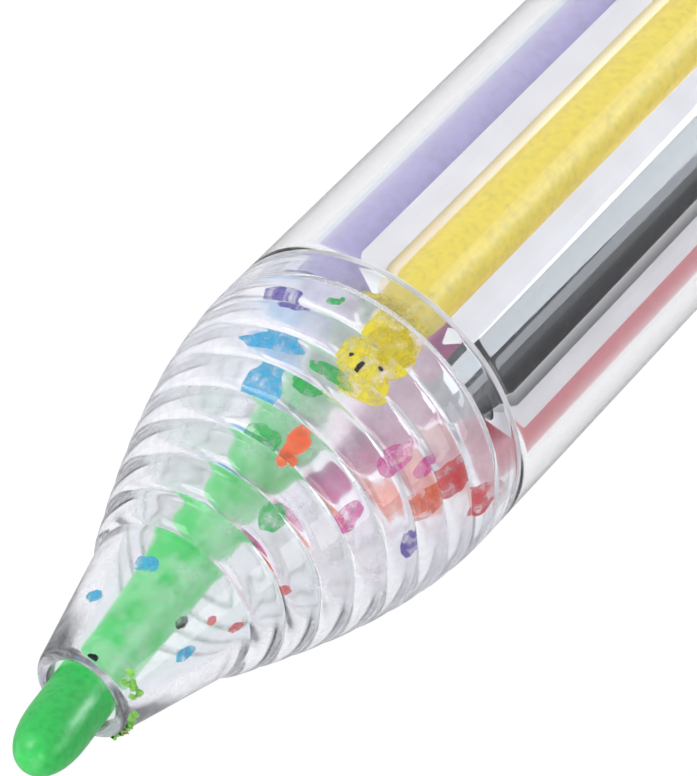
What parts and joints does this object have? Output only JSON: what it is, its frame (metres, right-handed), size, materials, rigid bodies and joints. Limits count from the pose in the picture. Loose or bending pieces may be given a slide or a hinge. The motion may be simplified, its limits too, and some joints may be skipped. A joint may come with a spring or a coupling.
{
  "type": "multicolour crayon pen",
  "caption": "Clear push-out crayon pen: coloured wax crayons ring a white core in a clear barrel, and thumb slides send one out through the ribbed nose.",
  "frame": {"origin": "centre of the end cap's flat bottom face", "axes": "+Z along the pen's axis, from the end cap to the nose; +X towards the blue crayon"},
  "size_m": [0.0344, 0.0344, 0.1652],
  "materials": {
    "clear_plastic": "clear polystyrene, glossy, faint lavender tint, fine handling scratches",
    "white_plastic": "white moulded plastic, satin",
    "blue_wax": "waxy satin, soft highlights",
    "blue_plastic": "moulded plastic, glossy",
    "green_wax": "waxy satin, soft highlights",
    "green_plastic": "moulded plastic, glossy",
    "pink_wax": "waxy satin, soft highlights",
    "pink_plastic": "moulded plastic, glossy",
    "orange_wax": "waxy satin, soft highlights",
    "orange_plastic": "moulded plastic, glossy",
    "red_wax": "waxy satin, soft highlights",
    "red_plastic": "moulded plastic, glossy",
    "black_wax": "waxy satin, soft highlights",
    "black_plastic": "moulded plastic, glossy",
    "yellow_wax": "waxy satin, soft highlights",
    "yellow_plastic": "moulded plastic, glossy",
    "purple_wax": "waxy satin, soft highlights",
    "purple_plastic": "moulded plastic, glossy"
  },
  "bodies": {
    "housing": {"barrel": "clear_plastic", "nose_cone": "clear_plastic", "crayon_core": "white_plastic", "end_cap": "white_plastic"},
    "blue_slide": {"slide_blue": "blue_plastic"},
    "blue_crayon": {"holder_blue": "blue_plastic", "crayon_blue": "blue_wax"},
    "green_slide": {"slide_green": "green_plastic"},
    "green_crayon": {"holder_green": "green_plastic", "crayon_green": "green_wax"},
    "pink_slide": {"slide_pink": "pink_plastic"},
    "pink_crayon": {"holder_pink": "pink_plastic", "crayon_pink": "pink_wax"},
    "orange_slide": {"slide_orange": "orange_plastic"},
    "orange_crayon": {"holder_orange": "orange_plastic", "crayon_orange": "orange_wax"},
    "red_slide": {"slide_red": "red_plastic"},
    "red_crayon": {"holder_red": "red_plastic", "crayon_red": "red_wax"},
    "black_slide": {"slide_black": "black_plastic"},
    "black_crayon": {"holder_black": "black_plastic", "crayon_black": "black_wax"},
    "yellow_slide": {"slide_yellow": "yellow_plastic"},
    "yellow_crayon": {"holder_yellow": "yellow_plastic", "crayon_yellow": "yellow_wax"},
    "purple_slide": {"slide_purple": "purple_plastic"},
    "purple_crayon": {"holder_purple": "purple_plastic", "crayon_purple": "purple_wax"}
  },
  "joints": [
    {"name": "blue_push", "type": "slide", "parent": "housing", "child": "blue_slide", "axis": [0, 0, 1], "range_m": [0, 0.009]},
    {"name": "blue_lean", "type": "hinge", "parent": "blue_slide", "child": "blue_crayon", "pos_m": [0.0093, 0, 0.06005], "axis": [0, -1, 0], "range_deg": [0, 2.07]},
    {"name": "green_push", "type": "slide", "parent": "housing", "child": "green_slide", "axis": [0, 0, 1], "range_m": [-0.04705, 0]},
    {"name": "green_lean", "type": "hinge", "parent": "green_slide", "child": "green_crayon", "pos_m": [0.00658, 0.00658, 0.1071], "axis": [0.7071, -0.7071, 0], "range_deg": [-10.9, 0]},
    {"name": "pink_push", "type": "slide", "parent": "housing", "child": "pink_slide", "axis": [0, 0, 1], "range_m": [0, 0.009]},
    {"name": "pink_lean", "type": "hinge", "parent": "pink_slide", "child": "pink_crayon", "pos_m": [0, 0.0093, 0.06005], "axis": [1, 0, 0], "range_deg": [0, 2.07]},
    {"name": "orange_push", "type": "slide", "parent": "housing", "child": "orange_slide", "axis": [0, 0, 1], "range_m": [0, 0.009]},
    {"name": "orange_lean", "type": "hinge", "parent": "orange_slide", "child": "orange_crayon", "pos_m": [-0.00658, 0.00658, 0.06005], "axis": [0.7071, 0.7071, 0], "range_deg": [0, 2.07]},
    {"name": "red_push", "type": "slide", "parent": "housing", "child": "red_slide", "axis": [0, 0, 1], "range_m": [0, 0.009]},
    {"name": "red_lean", "type": "hinge", "parent": "red_slide", "child": "red_crayon", "pos_m": [-0.0093, 0, 0.06005], "axis": [0, 1, 0], "range_deg": [0, 2.07]},
    {"name": "black_push", "type": "slide", "parent": "housing", "child": "black_slide", "axis": [0, 0, 1], "range_m": [0, 0.009]},
    {"name": "black_lean", "type": "hinge", "parent": "black_slide", "child": "black_crayon", "pos_m": [-0.00658, -0.00658, 0.06005], "axis": [-0.7071, 0.7071, 0], "range_deg": [0, 2.07]},
    {"name": "yellow_push", "type": "slide", "parent": "housing", "child": "yellow_slide", "axis": [0, 0, 1], "range_m": [0, 0.009]},
    {"name": "yellow_lean", "type": "hinge", "parent": "yellow_slide", "child": "yellow_crayon", "pos_m": [0, -0.0093, 0.06005], "axis": [-1, 0, 0], "range_deg": [0, 2.07]},
    {"name": "purple_push", "type": "slide", "parent": "housing", "child": "purple_slide", "axis": [0, 0, 1], "range_m": [0, 0.009]},
    {"name": "purple_lean", "type": "hinge", "parent": "purple_slide", "child": "purple_crayon", "pos_m": [0.00658, -0.00658, 0.06005], "axis": [-0.7071, -0.7071, 0], "range_deg": [0, 2.07]}
  ],
  "couplings": [
    {"joint": "blue_lean", "follows": "blue_push", "rad_per_m": 4.0105},
    {"joint": "green_lean", "follows": "green_push", "rad_per_m": 4.0105},
    {"joint": "pink_lean", "follows": "pink_push", "rad_per_m": 4.0105},
    {"joint": "orange_lean", "follows": "orange_push", "rad_per_m": 4.0105},
    {"joint": "red_lean", "follows": "red_push", "rad_per_m": 4.0105},
    {"joint": "black_lean", "follows": "black_push", "rad_per_m": 4.0105},
    {"joint": "yellow_lean", "follows": "yellow_push", "rad_per_m": 4.0105},
    {"joint": "purple_lean", "follows": "purple_push", "rad_per_m": 4.0105}
  ]
}
